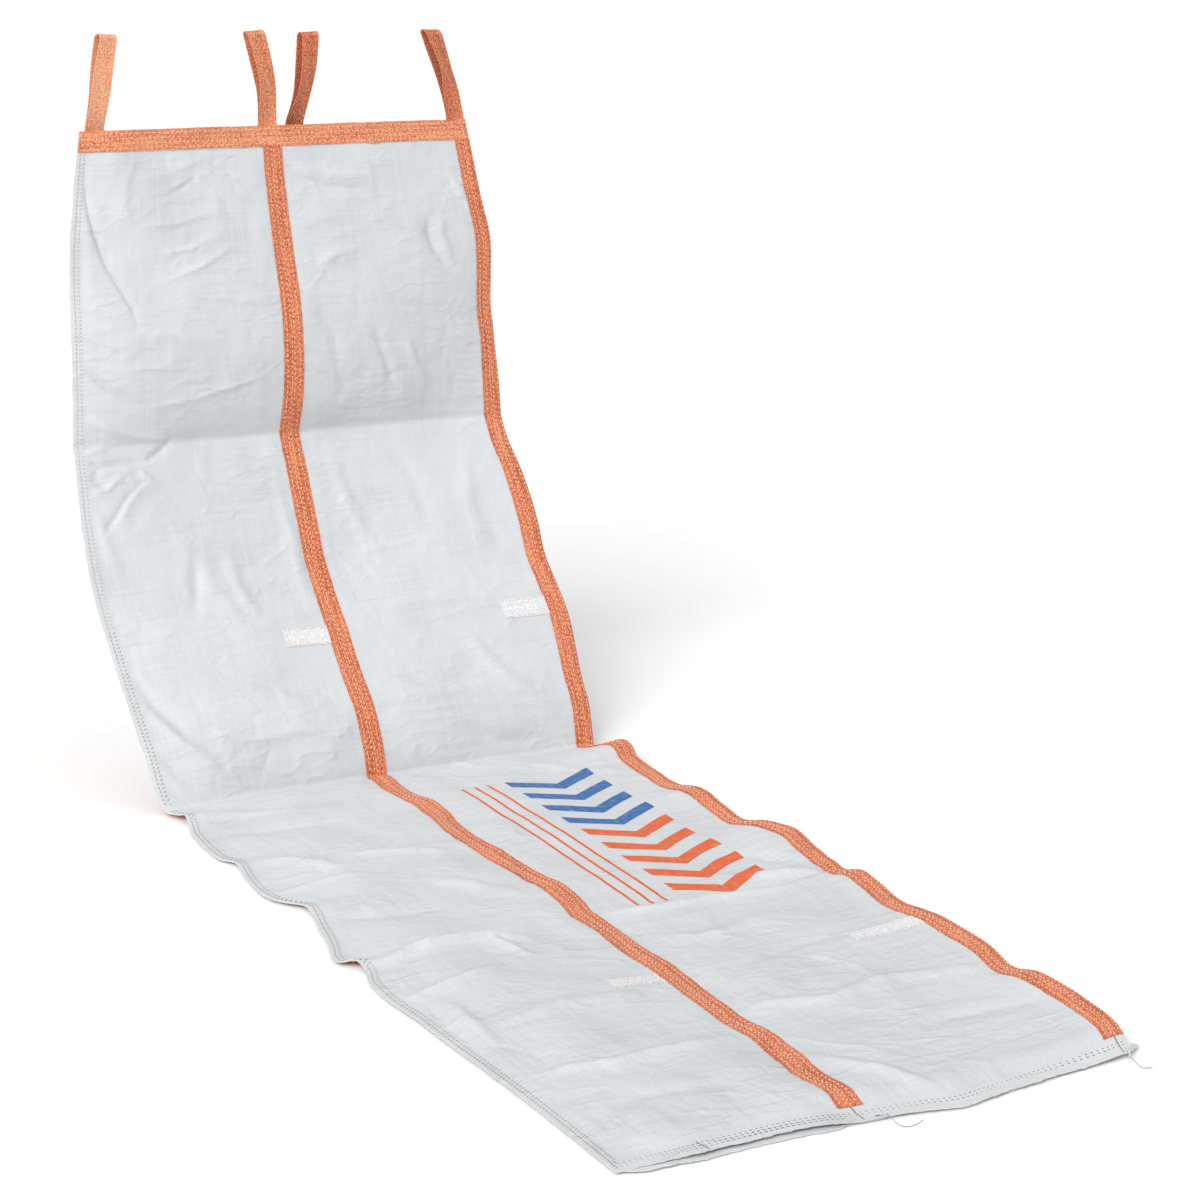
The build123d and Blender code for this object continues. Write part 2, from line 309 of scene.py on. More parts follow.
def sideways(x, s):
    """How far each place moves along X. On the floor only cloth near the sewn edges moves with them."""
    on_floor = ease((s - FLOOR_CREASE - 0.02) / 0.08)
    hung_left = np.clip((FRONT_SEAM - x) / (FRONT_SEAM - LEFT), 0, 1.1) ** 1.6
    hung_right = np.clip((x - FRONT_SEAM) / (RIGHT - FRONT_SEAM), 0, 1.1) ** 1.6
    laid_left = ease((LEFT + 0.2 - x) / 0.17)
    laid_right = ease((x - RIGHT + 0.155) / 0.11)
    to_left = hung_left * (1 - on_floor) + laid_left * on_floor
    to_right = hung_right * (1 - on_floor) + laid_right * on_floor
    snake = through(CENTRE_SHIFT, s) + 1.6 * waver(s, 0.04, 32)
    centre = snake * on_floor * np.exp(-(((x - FRONT_SEAM) / 0.055) ** 2))
    return (to_left * through(LEFT_SHIFT, s) + to_right * through(RIGHT_SHIFT, s) + centre) * MM


def pillow(x, s):
    """Each front panel stands up between its sewn lines, and is held down near them."""
    left = np.clip((x - FIN_INNER) / (FRONT_SEAM - FIN_INNER), 0, 1)
    right = np.clip((x - FRONT_SEAM) / (RIGHT - 0.02 - FRONT_SEAM), 0, 1)
    rise = np.where(x < FRONT_SEAM, np.sin(np.pi * left), np.sin(np.pi * right))
    return through(PILLOW_HEIGHT, s) * np.clip(rise, 0, 1) ** 0.8 * MM


# Wrinkles of the front, in millimetres: height, width, then x and s of each point of its path
SHARP_FOLDS = [
    # the long thin curved crease below the mouth, top left
    (-4.2, 5, -456, 30, -449, 100, -432, 170, -397, 265, -352, 350, -345, 385),
    # faint wrinkles across the top left panel
    (2.0, 6, -330, 190, -250, 185, -160, 165), (1.6, 6, -300, 245, -220, 235, -150, 205),
    (2.2, 6, -290, 300, -200, 270, -130, 235), (1.5, 7, -340, 100, -260, 85, -180, 60),
    (1.5, 8, -200, 330, -130, 345, -60, 340),
    # the fold that leaves the top crease at the left, and the puckers around it
    (-4.0, 7, -450, 455, -400, 505, -330, 548), (1.6, 6, -335, 548, -220, 530, -80, 497),
    (2.4, 7, -425, 570, -350, 600, -275, 617), (-4.8, 6, -275, 613, -300, 633, -330, 650),
    (-3.4, 6, -330, 650, -380, 650, -460, 652), (2.6, 6, -463, 628, -435, 622, -405, 618),
    (-3.6, 8, -430, 655, -435, 680, -410, 700), (2.8, 7, -450, 715, -410, 700, -375, 670),
    (-3.0, 6, -335, 690, -375, 720, -410, 765, -430, 790),
    (2.4, 7, -315, 700, -350, 705, -380, 740, -400, 775), (2.4, 6, -345, 670, -335, 685, -320, 690),
    # floor, left panel
    (3.4, 9, -260, 1750, -170, 1780, -80, 1800), (3.4, 9, -440, 1840, -360, 1845, -280, 1850),
    (8.5, 12, -454, 2222, -360, 2205, -220, 2215, -160, 2240),
    (3.5, 10, -220, 2220, -200, 2270, -190, 2320), (4.0, 10, -450, 2370, -360, 2360, -260, 2345),
    (-3.4, 8, -430, 2400, -445, 2500, -445, 2590), (4.2, 11, -420, 2720, -280, 2760, -180, 2750, -80, 2745),
    # floor, right panel
    (5.5, 10, 10, 2200, 120, 2225, 240, 2235, 340, 2245, 440, 2235),
]
SOFT_WRINKLES = [
    # beside the long thin crease, top left
    (1.8, 20, -460, 120, -445, 240, -410, 350),
    # faint wrinkles across the top left panel
    (-1.3, 7, -300, 140, -240, 120, -190, 85), (1.6, 14, -390, 410, -300, 400, -200, 420),
    # around the fold that leaves the top crease at the left
    (2.4, 9, -430, 560, -400, 585, -370, 600), (2.0, 12, -440, 745, -430, 800, -420, 860),
    # top right panel
    (-3.2, 9, 325, 200, 318, 230, 330, 270, 360, 300), (2.6, 11, 360, 190, 345, 235, 365, 280),
    (-2.6, 8, 30, 105, 100, 125, 180, 135), (2.0, 11, 30, 85, 110, 100, 200, 110),
    (2.4, 9, 400, 115, 425, 160, 430, 200), (-2.8, 10, 165, 420, 190, 480, 215, 545),
    (2.6, 11, 240, 440, 260, 500, 295, 550), (2.4, 9, 50, 290, 90, 262, 150, 255),
    (-2.0, 14, 40, 360, 70, 420, 80, 500),
    # middle section: soft lengthwise folds and cross ripples
    (-2.6, 13, -260, 830, -275, 920, -295, 980), (2.8, 14, -200, 860, -195, 930, -170, 1000),
    (2.0, 24, -290, 800, -230, 950, -200, 1060), (2.0, 12, -70, 720, -55, 850, -60, 980),
    (-2.6, 15, -230, 1140, -160, 1160, -80, 1190), (3.0, 16, -350, 1220, -260, 1260, -140, 1250),
    (3.6, 13, -440, 1160, -400, 1240, -330, 1320), (-3.4, 11, -450, 1250, -420, 1300, -370, 1345),
    (-2.4, 14, -450, 1080, -420, 1160, -380, 1230), (2.2, 16, 60, 680, 80, 800, 120, 900),
    (-2.0, 18, 200, 660, 230, 740, 240, 860), (2.2, 16, 360, 700, 330, 800, 340, 900),
    (2.0, 18, 100, 1020, 200, 1000, 300, 1030), (-2.4, 18, 50, 1140, 140, 1190, 250, 1200),
    (2.8, 16, 240, 1100, 300, 1200, 380, 1270), (3.4, 10, 100, 1325, 150, 1350, 190, 1390),
    (-2.6, 12, 200, 1300, 270, 1330, 340, 1335),
    # floor, left panel
    (3.4, 16, -450, 1410, -380, 1430, -300, 1470, -200, 1490),
    (-2.6, 18, -430, 1500, -340, 1550, -200, 1570), (3.6, 16, -430, 1680, -360, 1730, -300, 1810),
    (-2.8, 18, -420, 2000, -340, 2040, -220, 2050), (2.6, 18, -200, 1920, -130, 1980, -70, 2060),
    (3.4, 13, -400, 2420, -410, 2500, -410, 2600), (2.8, 20, -360, 2560, -240, 2530, -100, 2550),
    (-2.6, 18, -400, 2900, -300, 2870, -150, 2900),
    # floor, right panel
    (4.4, 13, 300, 2140, 370, 2180, 430, 2230), (-4.2, 15, 380, 1980, 350, 2060, 400, 2150),
    (2.8, 16, 280, 1420, 340, 1500, 410, 1560), (3.0, 18, 30, 2340, 150, 2370, 300, 2340),
    (-3.2, 18, 100, 2520, 240, 2470, 380, 2460), (3.8, 14, 40, 2660, 160, 2700, 300, 2670, 420, 2700),
    (-3.0, 16, 200, 2860, 300, 2830, 420, 2860), (4.2, 16, 20, 2880, 80, 2950, 120, 3050),
]
WRINKLE_GAIN = 2.1
CREASE_WIDTH = 0.011  # how fast a pressed crease dies away on each side
# Noise: height in millimetres, size across and along in metres, seed
FRONT_NOISE = [(2.6, 0.14, 0.19, 3), (2.0, 0.09, 0.055, 4), (0.8, 0.03, 0.045, 5), (0.35, 0.012, 0.02, 6)]
BACK_NOISE = [(2.2, 0.15, 0.22, 13), (1.2, 0.08, 0.05, 14), (0.5, 0.03, 0.04, 15)]


def relief(x, s):
    """The front layer's own creases and wrinkles, in metres."""
    floor_part = ease((s - FLOOR_CREASE) / 0.1)
    stiff = np.exp(-np.abs((x - FRONT_SEAM) / 0.03) ** 2)
    stiff = np.maximum(stiff, np.exp(-np.abs((x - RIGHT + 0.02) / 0.03) ** 2))
    loose = 1 - 0.65 * stiff
    near_mouth = ease(s / 0.08)
    near_hem = 1 - 0.75 * ease((s - HEM + 0.09) / 0.09)
    printed = ease((x - 0.06) / 0.04) * ease((0.4 - x) / 0.04)
    printed = printed * ease((s - FLOOR_CREASE - 0.08) / 0.06) * ease((OUTLET_CREASE - 0.02 - s) / 0.06)
    near_hem = near_hem * (1 - 0.7 * printed)
    out = layered(x, s, FRONT_NOISE)
    out = out + floor_part * 2.4 * mottle(x + 0.3 * s, s, 0.22, 0.075, 7)
    slant = x - 0.25 * s
    out = out + 3.0 * crumple(slant, 1.7 * s, 0.13, 301) - 2.4 * crumple(slant, 1.7 * s, 0.1, 311)
    out = out + 1.4 * crumple(slant, 1.5 * s, 0.06, 321)
    for table in (SHARP_FOLDS, SOFT_WRINKLES):
        for height, width, *path in table:
            points = np.reshape(path, (-1, 2)) * MM
            out = out + WRINKLE_GAIN * ridge(x, s, points, height, width * MM, table is SHARP_FOLDS)
    # the two hanging creases are pressed lines; the upper one dies away in the folds at the left
    faded = 1 - 0.85 * ease((-0.25 - x) / 0.07)
    for place, depth in ((TOP_CREASE, 5.0 * faded), (FLOOR_CREASE, 4.0)):
        line = place + 0.004 * waver(x, 0.12, 8)
        out = out - depth * np.exp(-np.abs(s - line) / CREASE_WIDTH)
    # the sewn middle rolls and ripples on the floor
    middle = (x - FRONT_SEAM) / (STRAP_WIDTH / 2)
    roll = 3.2 * waver(s, 0.1, 33) * middle * np.exp(-((middle / 2) ** 2))
    ripple = 1.4 * waver(s, 0.028, 34) * stiff
    return (out * loose * near_mouth * near_hem + (roll + ripple) * floor_part) * MM


def back_relief(x, s):
    """The back layer hangs in shallow folds, and lies flat on the floor."""
    hanging = 1 - ease((s - FLOOR_CREASE + 0.1) / 0.1)
    out = layered(x, s, BACK_NOISE)
    on_floor = 0.8 * mottle(x, s, 0.12, 0.1, 16) - 0.8
    return (out * hanging * ease(s / 0.08) + on_floor * (1 - hanging)) * MM


def edge_profile(x, s):
    """0 where the two layers meet at an edge, 1 inside."""
    left = ease((x - LEFT) / (0.11 + 0.08 * ease((s - FLOOR_CREASE) / 0.08)))
    t = np.clip((RIGHT - x) / 0.011, 0, 1)
    return left * np.sqrt(np.clip(1 - (1 - t) ** 2, 0, 1))


def cloth_surface(side, x, s):
    """The outer face of the front (side 1) or the back (side -1)."""
    x, s = np.broadcast_arrays(np.asarray(x, float), np.asarray(s, float))
    up = np.clip(1 - s / TOP_CREASE, 0, 1)
    spread = MOUTH_SPREAD * up
    settled = ease((s - FLOOR_CREASE - 0.02) / 0.06)
    at_left = ease(1 - (x - LEFT) / 0.2)
    centre = MIDDLE_DEPTH + spread / 2 + 6.2 * MM * settled * at_left
    closed = ease((s - HEM + 0.085) / 0.075)
    profile = edge_profile(x, s)
    raised = edge_rise(x, s)
    if side > 0:
        out = relief(x, s) + pillow(x, s)
        reach = ease((x - FIN_INNER + 3 * MM) / 0.03) * np.minimum(1, (RIGHT - x) / 0.006)
        depth = centre + (FRONT_DEPTH - centre) * profile - out * np.clip(reach, 0, 1)
        shut = 0.94 - 0.3 * ease((-0.02 - x) / 0.06)
        depth = depth + (OUTLET_DEPTH - depth) * closed * shut
    else:
        pinch = sum(np.exp(-(((s - c) / 0.05) ** 2)) for c in (TOP_CREASE, FLOOR_CREASE))
        deep = BACK_DEPTH + spread - 4 * MM * pinch
        depth = centre + (deep - centre) * profile + back_relief(x, s) * profile
    point, forward = reference(s)
    place = x * (1 - MOUTH_INSET * up**2) + sideways(x, s)
    yz = point + forward * (lift(x, s) + raised - depth)[..., None]
    y = yz[..., 0] - through(HEM_EDGE, x) * ease((s - HEM + 0.16) / 0.16) * MM
    z = np.maximum(yz[..., 1], FLOOR + FLOOR_GAP + (0 if side < 0 else CLOTH))
    return np.stack([place, y, z], axis=-1)


def surface_normal(side, x, s):
    """The direction straight out of the cloth."""
    dx = cloth_surface(side, x + NORMAL_STEP, s) - cloth_surface(side, x - NORMAL_STEP, s)
    ds = cloth_surface(side, x, s + NORMAL_STEP) - cloth_surface(side, x, s - NORMAL_STEP)
    return unit(np.cross(ds, dx) * side)


def on_cloth(side, x, s):
    """The outer face and its normal."""
    return cloth_surface(side, x, s), surface_normal(side, x, s)


# ---------------------------------------------------------------- meshes
def placed(name, data):
    """A new object in the scene."""
    made = bpy.data.objects.new(name, data)
    bpy.context.scene.collection.objects.link(made)
    return made


def make_object(name, points, faces, uv, materials, slots, normals):
    """One mesh from arrays. uv is one pair per point, in metres, for the weave."""
    mesh = bpy.data.meshes.new(name)
    mesh.from_pydata(np.asarray(points).tolist(), [], [list(map(int, f)) for f in faces])
    corner = np.zeros(len(mesh.loops), np.int32)
    mesh.loops.foreach_get("vertex_index", corner)
    layer = mesh.uv_layers.new(name="Weave")
    layer.data.foreach_set("uv", np.asarray(uv, np.float32)[corner].ravel())
    for material in materials:
        mesh.materials.append(material)
    mesh.polygons.foreach_set("material_index", np.asarray(slots, np.int32))
    mesh.polygons.foreach_set("use_smooth", np.ones(len(mesh.polygons), bool))
    mesh.set_sharp_from_angle(angle=math.radians(50))
    mesh.update()
    if normals is not None:
        mesh.normals_split_custom_set([tuple(n) for n in np.asarray(normals)[corner]])
    return placed(name, mesh)


class Build:
    """Points and faces gathered for one piece."""

    def __init__(self):
        self.points, self.faces, self.uv, self.slots, self.count = [], [], [], [], 0

    def add(self, points, faces, uv, slot=0):
        self.points.append(np.asarray(points, float))
        self.uv.append(np.asarray(uv, float))
        self.faces.extend([tuple(i + self.count for i in f) for f in faces])
        self.slots.extend([slot] * len(faces))
        self.count += len(points)

    def shell(self, outer, inner, uv, slot=0):
        """A closed sheet between two grids of the same shape, outer face first."""
        n, m = outer.shape[:2]
        index = np.arange(n * m).reshape(n, m)
        a, b, c, d = index[:-1, :-1], index[:-1, 1:], index[1:, 1:], index[1:, :-1]
        quads = np.stack([a, d, c, b], -1).reshape(-1, 4)
        under = quads[:, ::-1] + n * m
        rim = np.concatenate([index[0, :], index[1:, -1], index[-1, -2::-1], index[-2:0:-1, 0]])
        after = np.roll(rim, -1)
        side = np.stack([rim, after, after + n * m, rim + n * m], -1)
        faces = np.concatenate([quads, under, side]).tolist()
        points = np.concatenate([outer.reshape(-1, 3), inner.reshape(-1, 3)])
        flat = np.asarray(uv).reshape(-1, 2)
        self.add(points, faces, np.concatenate([flat, flat]), slot)

    def stitches(self, at, way, up, size):
        """Small raised stitches at these points, along way and standing up from the cloth."""
        length, width, height = (value * MM for value in size)
        side = np.cross(up, way)
        rows = []
        for along, half in ((-0.5, 0), (-0.28, 1), (0.28, 1), (0.5, 0)):
            centre = at + way * (length * along)
            if half:
                foot = centre - up * 0.15 * height
                rows += [foot + side * width / 2, centre + up * height, foot - side * width / 2]
            else:
                rows.append(centre - up * 0.2 * height)
        block = np.stack(rows, 1)
        ends = [(0, 2, 1), (0, 3, 2), (0, 1, 3)]
        flanks = [(1, 2, 5, 4), (2, 3, 6, 5), (3, 1, 4, 6)]
        faces = ends + flanks + [(7, 4, 5), (7, 5, 6), (7, 6, 4)]
        for points in block:
            self.add(points, faces, [(p[0], p[1] + p[2]) for p in points], THREAD_SLOT)

    def object(self, name, materials, normals=None):
        points, uv = np.concatenate(self.points), np.concatenate(self.uv)
        return make_object(name, points, self.faces, uv, materials, self.slots, normals)


def lattice(x_values, s_values):
    return np.meshgrid(np.asarray(x_values, float), np.asarray(s_values, float))


def steps(low, high, size):
    return np.linspace(low, high, max(2, int(round((high - low) / size)) + 1))


def facing(side, *grids):
    """The grids of one layer, turned over on the back so that its outer faces look outward."""
    return [grid if side > 0 else grid[:, ::-1] for grid in grids]


def patch(build, side, x, s, low, high, uv=None, slot=0):
    """A layer on the cloth from low to high off its outer face."""
    base, normal = on_cloth(side, x, s)
    uv = np.stack([x, s], -1) if uv is None else uv
    build.shell(*facing(side, base + normal * high, base + normal * low, uv), slot)


def stitch_line(build, side, x, s, stand, size):
    """Stitches along a line on the cloth, given by the middle of each one."""
    at, normal = on_cloth(side, x, s)
    raised = at + normal * np.asarray(stand)[..., None]
    build.stitches(raised, unit(np.gradient(at, axis=0)), normal, size)


# Each long piece is cut in the middle of a section, so that each part crosses one crease:
# start, end, upper body, lower body, crease, sections whose nodes it replaces.
MIDDLE_CUT = TOP_CREASE + LENGTHS[1] / 2
REAR_CUT = FLOOR_CREASE + LENGTHS[2] / 2
SPANS = {
    "upper": (0, MIDDLE_CUT, "top_section", "middle_section", TOP_CREASE, ("top",)),
    "bend": (MIDDLE_CUT, REAR_CUT, "middle_section", "rear_section", FLOOR_CREASE, ("middle", "rear")),
    "lower": (REAR_CUT, HEM, "rear_section", "outlet_section", OUTLET_CREASE, ("outlet",)),
}


def across_crease(piece):
    """The piece's transform is baked into its mesh."""
    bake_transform(piece)


def declare(piece, span, node):
    """The piece is one long part of this node's row."""
    _, _, upper, lower, place, sections = SPANS[span]
    across_crease(piece)
    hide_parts(*[f"{section}_{node}" for section in sections])


def whole(piece, body, slot_name, *nodes):
    """The piece moves whole with one body."""
    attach(piece, body)
    if nodes:
        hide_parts(*nodes)


# ---------------------------------------------------------------- materials
class Nodes:
    """Short names for the nodes of one material."""

    def __init__(self, name):
        self.material = bpy.data.materials.new(name)
        self.material.use_nodes = True
        self.tree = self.material.node_tree
        self.shader = self.tree.nodes["Principled BSDF"]
        weave = self.tree.nodes.new("ShaderNodeUVMap")
        weave.uv_map = "Weave"
        split = self.tree.nodes.new("ShaderNodeSeparateXYZ")
        self.link(weave.outputs[0], split.inputs[0])
        self.uv, self.across, self.along = weave.outputs[0], split.outputs[0], split.outputs[1]

    def link(self, a, b):
        self.tree.links.new(a, b)

    def math(self, operation, a, b=None, c=None):
        node = self.tree.nodes.new("ShaderNodeMath")
        node.operation = operation
        for socket, value in zip(node.inputs, (a, b, c)):
            if value is None:
                continue
            if isinstance(value, (int, float)):
                socket.default_value = value
            else:
                self.link(value, socket)
        return node.outputs[0]

    def times(self, a, b):
        return self.math("MULTIPLY", a, b)

    def plus(self, a, b):
        return self.math("ADD", a, b)

    def weave(self, tape):
        """Tapes of this width over and under each other: 1 on a high crossing, 0 on a low one."""
        u, v = (self.times(place, math.pi / tape) for place in (self.across, self.along))
        return self.math("MULTIPLY_ADD", self.times(self.math("SINE", u), self.math("SINE", v)), 0.5, 0.5)

    def wave(self, value, period):
        """A sine from 0 to 1 with this period in metres."""
        return self.math("MULTIPLY_ADD", self.math("SINE", self.times(value, 2 * math.pi / period)), 0.5, 0.5)

    def noise(self, across, along, detail=2.0, rough=0.5):
        """Noise with bumps across by along metres."""
        stretch = self.tree.nodes.new("ShaderNodeMapping")
        stretch.inputs["Scale"].default_value = (1 / across, 1 / along, 1)
        self.link(self.uv, stretch.inputs["Vector"])
        node = self.tree.nodes.new("ShaderNodeTexNoise")
        self.link(stretch.outputs[0], node.inputs["Vector"])
        node.inputs["Scale"].default_value = 1
        node.inputs["Detail"].default_value = detail
        node.inputs["Roughness"].default_value = rough
        return node.outputs["Fac"]

    def ramp(self, value, stops):
        node = self.tree.nodes.new("ShaderNodeValToRGB")
        while len(node.color_ramp.elements) < len(stops):
            node.color_ramp.elements.new(0.5)
        for element, (place, colour) in zip(node.color_ramp.elements, stops):
            element.position = place
            element.color = (*colour, 1)
        self.link(value, node.inputs["Fac"])
        return node.outputs["Color"]

    def tint(self, share, base, colour):
        """The base with this share of a plain colour over it."""
        node = self.tree.nodes.new("ShaderNodeMix")
        node.data_type = "RGBA"
        self.link(share, node.inputs[0])
        self.link(base, node.inputs[6])
        node.inputs[7].default_value = (*colour, 1)
        return node.outputs[2]

    def finish(self, colour, height, depth, rough, sheen=0.0, sheen_rough=0.5):
        """Colour, roughness, sheen and a bump this deep in metres."""
        self.link(colour, self.shader.inputs["Base Color"])
        if isinstance(rough, float):
            self.shader.inputs["Roughness"].default_value = rough
        else:
            self.link(rough, self.shader.inputs["Roughness"])
        self.shader.inputs["Sheen Weight"].default_value = sheen
        self.shader.inputs["Sheen Roughness"].default_value = sheen_rough
        bump = self.tree.nodes.new("ShaderNodeBump")
        bump.inputs["Strength"].default_value = 1.0
        bump.inputs["Distance"].default_value = depth
        self.link(height, bump.inputs["Height"])
        self.link(bump.outputs["Normal"], self.shader.inputs["Normal"])
        return self.material


def woven_cloth(name, light, dark, tape=TAPE):
    """Flat tapes crossing one over and one under, with uneven tapes and faint handling marks."""
    n = Nodes(name)
    weave = n.weave(tape)
    warp = n.noise(2.2 * MM, 0.35, 3)
    weft = n.noise(0.3, 2.2 * MM, 3)
    tapes = n.times(n.plus(warp, weft), 0.5)
    clouds = n.noise(0.11, 0.16, 4)
    crinkle = n.noise(14 * MM, 18 * MM, 5, 0.62)
    tone = n.plus(n.times(tapes, 0.62), n.times(clouds, 0.38))
    colour = n.ramp(tone, [(0.36, dark), (0.5, light), (0.66, tuple(min(1, c * 1.05) for c in light))])
    colour = n.tint(n.times(weave, 0.16), colour, tuple(c * 0.82 for c in dark))
    marks = n.noise(0.05, 0.06, 6, 0.7)
    spots = n.ramp(marks, [(0.66, (0, 0, 0)), (0.78, (1, 1, 1))])
    colour = n.tint(n.times(spots, 0.10), colour, (0.42, 0.42, 0.40))
    height = n.plus(n.times(weave, 0.35), n.times(tapes, 0.45))
    height = n.plus(height, n.times(crinkle, 1.4))
    for across, along, gain in ((0.12, 0.055, 1.7), (0.065, 0.03, 0.9)):
        facets = n.noise(across, along, 2, 0.4)
        edge = n.math("ABSOLUTE", n.math("SUBTRACT", facets, 0.5))
        edge = n.math("MAXIMUM", n.math("SUBTRACT", 1.0, n.times(edge, 11)), 0.0)
        shown = n.ramp(n.noise(3.1 * across, 3.4 * along, 1), [(0.42, (0, 0, 0)), (0.6, (1, 1, 1))])
        height = n.plus(height, n.times(n.times(edge, shown), gain))
    rough = n.math("MULTIPLY_ADD", tapes, 0.25, 0.42)
    n.shader.inputs["Specular IOR Level"].default_value = 0.35
    return n.finish(colour, height, 0.9 * MM, rough, 0.08, 0.4)


def webbing(name, light, base, dark):
    """Coarse webbing: a zigzag twill in ribs, paler on the high threads and darker between them: painted
    light and shade that follow the bump.
    """
    n = Nodes(name)
    zigzag = n.math("PINGPONG", n.plus(n.across, 1.0), RIB)
    twill = n.wave(n.math("MULTIPLY_ADD", zigzag, 1.3, n.along), 6.5 * MM)
    ribs = n.wave(n.across, RIB)
    flecks = n.noise(4.2 * MM, 6 * MM, 2, 0.7)
    clouds = n.noise(0.02, 0.12, 3)
    height = n.plus(n.times(twill, 0.6), n.times(ribs, 0.15))
    height = n.plus(height, n.times(flecks, 1.0))
    # The tone follows the bump's flecks and twill, so high threads are paler and the gaps darker: painted
    # light and shade, over clouds of uneven tone.
    tone = n.plus(n.times(flecks, 0.66), n.times(twill, 0.12))
    tone = n.plus(tone, n.times(clouds, 0.22))
    colour = n.ramp(tone, [(0.41, dark), (0.485, base), (0.58, light)])
    rough = n.math("MULTIPLY_ADD", flecks, 0.2, 0.5)
    return n.finish(colour, height, 1.4 * MM, rough, 0.1, 0.5)


def thread(name, light, dark):
    n = Nodes(name)
    strands = n.noise(0.8 * MM, 0.8 * MM, 3)
    colour = n.ramp(strands, [(0.35, dark), (0.65, light)])
    return n.finish(colour, strands, 0.2 * MM, 0.6, 0.2)


def ink(name, full, worn):
    """Printed ink that follows the weave and has worn off its high tapes in places."""
    n = Nodes(name)
    weave = n.weave(TAPE)
    lost = n.plus(n.times(weave, 0.25), n.noise(0.012, 0.016, 5, 0.7))
    between = tuple(0.85 * f + 0.15 * w for f, w in zip(full, worn))
    colour = n.ramp(lost, [(0.55, full), (0.72, between), (0.9, worn)])
    return n.finish(colour, weave, 0.4 * MM, 0.5)


CLOTH_MAT = woven_cloth("woven_cloth", (0.65, 0.67, 0.685), (0.565, 0.585, 0.60))
SEAM_MAT = woven_cloth("seam_cloth", (0.68, 0.69, 0.695), (0.58, 0.59, 0.595), tape=2.2 * MM)
ORANGE = webbing("orange_webbing", (0.86, 0.33, 0.16), (0.68, 0.16, 0.058), (0.38, 0.064, 0.022))
MID_ORANGE = webbing("band_webbing", (0.92, 0.43, 0.24), (0.78, 0.235, 0.10), (0.50, 0.10, 0.036))
# The palest copy of the orange webbing, for the left loop that catches the most light: painted light.
LIT_LOOP_ORANGE = webbing("lit_loop_webbing", (0.97, 0.56, 0.34), (0.95, 0.42, 0.22), (0.78, 0.25, 0.11))
WHITE_WEBBING = webbing("white_webbing", (0.87, 0.88, 0.89), (0.79, 0.80, 0.815), (0.66, 0.67, 0.68))
PEACH_THREAD = thread("peach_thread", (0.99, 0.74, 0.52), (0.95, 0.52, 0.30))
GREY_THREAD = thread("grey_thread", (0.24, 0.26, 0.30), (0.10, 0.11, 0.14))
PALE_THREAD = thread("pale_thread", (0.44, 0.46, 0.49), (0.27, 0.29, 0.32))
TAN_THREAD = thread("tan_thread", (0.84, 0.40, 0.20), (0.68, 0.25, 0.10))
BLUE_INK = ink("blue_ink", (0.012, 0.125, 0.38), (0.30, 0.42, 0.58))
ORANGE_INK = ink("orange_ink", (0.74, 0.115, 0.022), (0.80, 0.40, 0.26))


# ---------------------------------------------------------------- panels
def panel(side, x_low, x_high, span, node, cell):
    """One stretch of a long panel. It stops short of the hem's edge, where the hem piece takes over."""
    s_low, s_high = SPANS[span][:2]
    x, s = lattice(steps(x_low, x_high, cell), steps(s_low, min(s_high, HEM_START + 2 * MM), cell))
    base, normal = on_cloth(side, x, s)
    outer, inner, uv, normal = facing(side, base, base - normal * CLOTH, np.stack([x, s], -1), normal)
    build = Build()
    build.shell(outer, inner, uv)
    held = np.concatenate([normal.reshape(-1, 3), -normal.reshape(-1, 3)])
    piece = build.object(f"{node}_{span}", [CLOTH_MAT], held)
    declare(piece, span, node)


def panels():
    front_cell, back_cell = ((5 * MM, 9 * MM))
    for span in SPANS:
        panel(1, FIN_INNER, FRONT_SEAM, span, "front_left_panel", front_cell)
        panel(1, FRONT_SEAM, RIGHT, span, "front_right_panel", front_cell)
        panel(-1, FIN_INNER, BACK_SEAM, span, "back_left_panel", back_cell)
        panel(-1, BACK_SEAM, RIGHT, span, "back_right_panel", back_cell)


# ---------------------------------------------------------------- straps
def strap(side, x_low, span, node):
    """A webbing strap from the band down, with four rows of stitching through it."""
    s_low, s_high = max(SPANS[span][0], STRAP_WIDTH), min(SPANS[span][1], STRAP_END)
    spare = 1.2 * MM  # the webbing is a little wider than its solid, except at the right edge
    inside = x_low + STRAP_WIDTH < RIGHT - 1 * MM
    across = steps(-spare, STRAP_WIDTH + spare if inside else RIGHT - 0.3 * MM - x_low, 4 * MM)
    x, s = lattice(x_low + across, steps(s_low, s_high, 7 * MM))
    edge = 0.6 * MM * (waver(s, 0.012, 121 + int(x_low * 100)) + waver(s, 0.05, 22))
    x = x + edge * np.abs(np.linspace(-1, 1, len(across)))
    if x_low < FIN_INNER + 5 * MM:  # the left strap lies further in on the floor
        x = x + 9 * MM * ease((s - FLOOR_CREASE - 0.05) / 0.1)
    build = Build()
    patch(build, side, x, s, LIFT_OFF, LIFT_OFF + WEBBING, np.stack([x - x_low, s], -1))
    pitch = 10.4 * MM
    for k, row in enumerate((0.16, 0.42, 0.56, 0.84)):
        middle = np.arange(s_low + 4 * MM + k * 2.7 * MM, s_high - 4 * MM, pitch)
        line = x_low + row * STRAP_WIDTH + 0.4 * MM * waver(middle, 0.03, 40 + k)
        line = np.minimum(line, RIGHT - 3 * MM)
        stitch_line(build, side, line, middle, LIFT_OFF + WEBBING, STRAP_STITCH)
    piece = build.object(f"{node}_{span}", [ORANGE, PEACH_THREAD])
    declare(piece, span, node)


